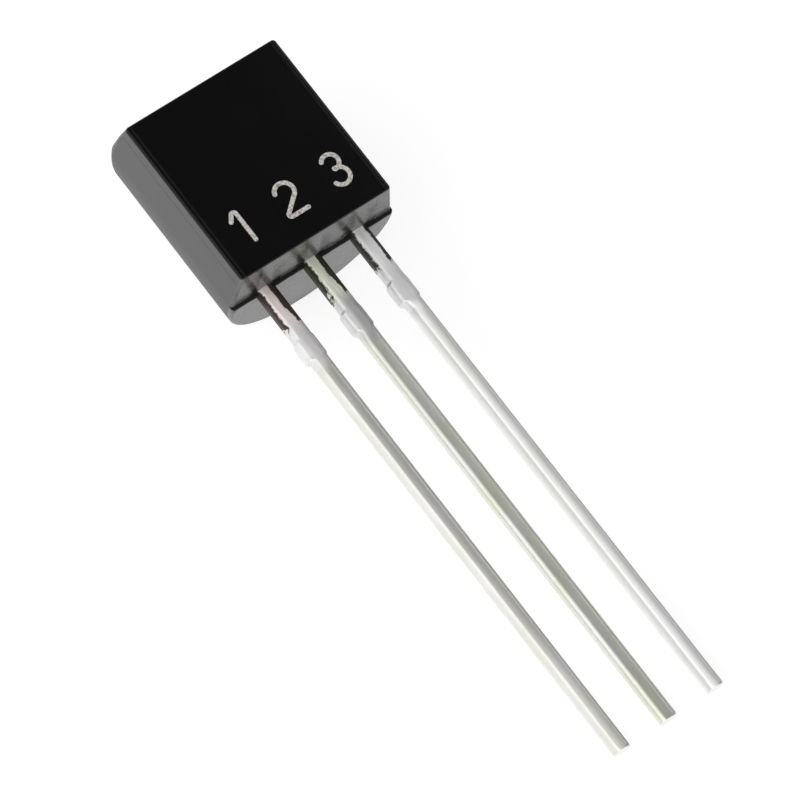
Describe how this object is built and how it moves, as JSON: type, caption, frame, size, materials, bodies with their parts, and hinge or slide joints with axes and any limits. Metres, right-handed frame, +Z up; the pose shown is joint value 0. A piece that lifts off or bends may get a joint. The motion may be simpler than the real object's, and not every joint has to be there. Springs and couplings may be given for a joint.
{
  "type": "three-lead transistor",
  "caption": "Small-signal transistor in a moulded D-shaped body with one flat face and three straight tinned leads in a row, lying on its round back.",
  "frame": {"origin": "On the surface that the part lies on, under the middle of its outline.", "axes": "+Z up. The leads run towards -Y and the far end of the body is towards +Y. +X runs across the flat face, from the emitter lead to the collector lead. The flat face looks up and leans 8.93 degrees towards the leads, because the part rests on its round back and on the tips of its outer leads."},
  "size_m": [0.0044, 0.0176, 0.0042],
  "materials": {
    "moulding": "black epoxy moulding compound, smooth satin",
    "tinned_lead": "tin plating on copper alloy, soft satin",
    "silicon": "polished grey silicon",
    "attach_alloy": "thin bright solder layer",
    "bond_wire": "bright gold wire"
  },
  "bodies": {
    "root": {"moulded_body": "moulding", "emitter_lead": "tinned_lead", "base_lead": "tinned_lead", "collector_lead": "tinned_lead", "chip": "silicon", "chip_attach": "attach_alloy", "base_wire": "bond_wire", "emitter_wire": "bond_wire"}
  },
  "joints": []
}
